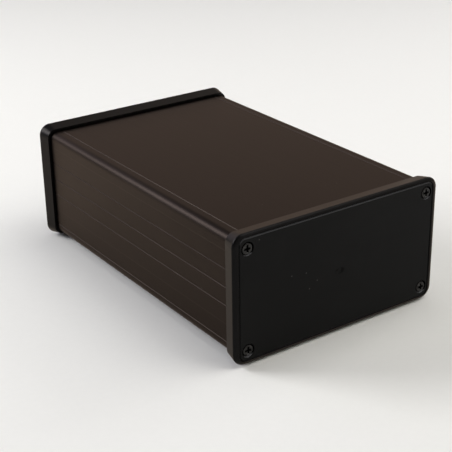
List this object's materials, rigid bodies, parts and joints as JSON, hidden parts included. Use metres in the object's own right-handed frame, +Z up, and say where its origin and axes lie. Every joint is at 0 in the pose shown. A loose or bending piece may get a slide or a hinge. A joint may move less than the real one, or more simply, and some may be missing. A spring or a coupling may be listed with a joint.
{
  "type": "extruded aluminium enclosure",
  "caption": "Long dark anodised aluminium instrument case with black bezel frames and screwed-on flat black end panels.",
  "frame": {"origin": "centre of the underside, on the surface that the case stands on, midway along the extrusion", "axes": "+Z up; Y runs along the extrusion with the front end panel at -Y; X across the width"},
  "size_m": [0.1082, 0.1664, 0.0582],
  "materials": {
    "anodised": "dark brown-black satin anodising",
    "bezel_plastic": "black, fine satin",
    "panel_plastic": "black, fine matte grain",
    "black_steel": "black oxide, slightly worn"
  },
  "bodies": {
    "root": {"body_extrusion": "anodised", "base_plate": "anodised", "front_bezel": "bezel_plastic", "rear_bezel": "bezel_plastic", "front_panel": "panel_plastic", "rear_panel": "panel_plastic", "front_screws": "black_steel", "rear_screws": "black_steel"}
  },
  "joints": []
}
